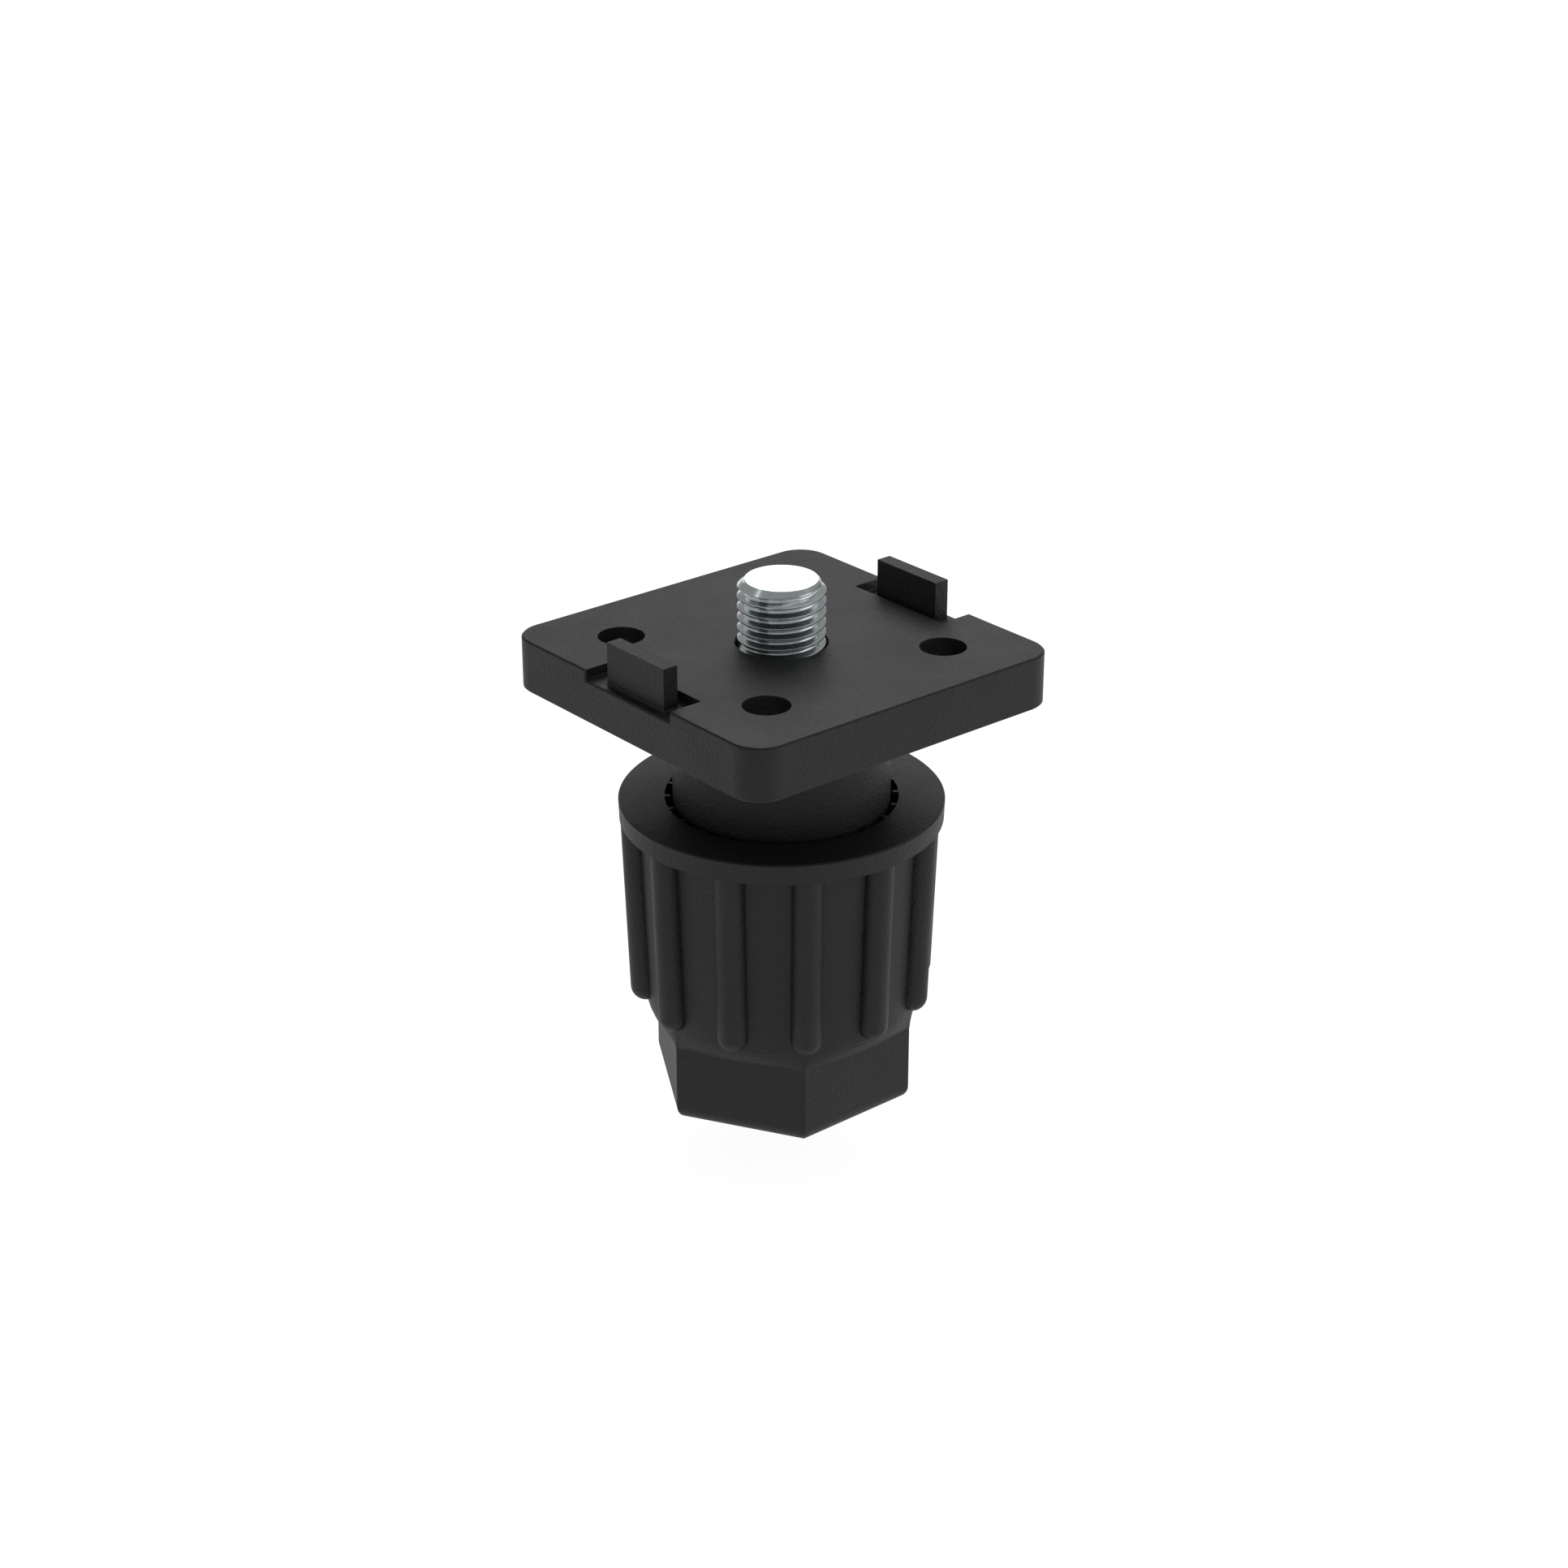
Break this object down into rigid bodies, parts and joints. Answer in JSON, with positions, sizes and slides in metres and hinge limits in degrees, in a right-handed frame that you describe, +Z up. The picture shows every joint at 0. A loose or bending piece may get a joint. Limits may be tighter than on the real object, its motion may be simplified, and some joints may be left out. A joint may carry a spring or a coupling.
{
  "type": "adjustable cabinet leg",
  "caption": "Screw-adjusted cabinet leg: square top plate with edge tabs and a tube, threaded spindle, and a ribbed foot with a flange and a spanner hexagon.",
  "frame": {"origin": "Centre of the foot's underside, on the floor, on the spindle's axis.", "axes": "+Z is up along the spindle, out of the plate's top face. +X points from the plate's centre to one of its two tabs. +Y points to an edge with no tab."},
  "size_m": [0.07, 0.07, 0.1022],
  "materials": {
    "black_plastic": "fine spark-eroded moulding grain, matt",
    "zinc_plate": "bright bluish zinc plating on steel"
  },
  "bodies": {
    "plate": {"top_plate": "black_plastic"},
    "bush": {"threaded_bush": "zinc_plate"},
    "foot": {"spindle": "zinc_plate", "adjusting_foot": "black_plastic"}
  },
  "joints": [
    {"name": "turn", "type": "hinge", "parent": "plate", "child": "bush", "pos_m": [0, 0, 0.0721], "axis": [0, 0, 1], "range_deg": [-2160, 3600]},
    {"name": "height", "type": "slide", "parent": "bush", "child": "foot", "axis": [0, 0, 1], "range_m": [-0.012, 0.02]}
  ],
  "couplings": [
    {"joint": "height", "follows": "turn", "m_per_rad": 0.00031831}
  ]
}
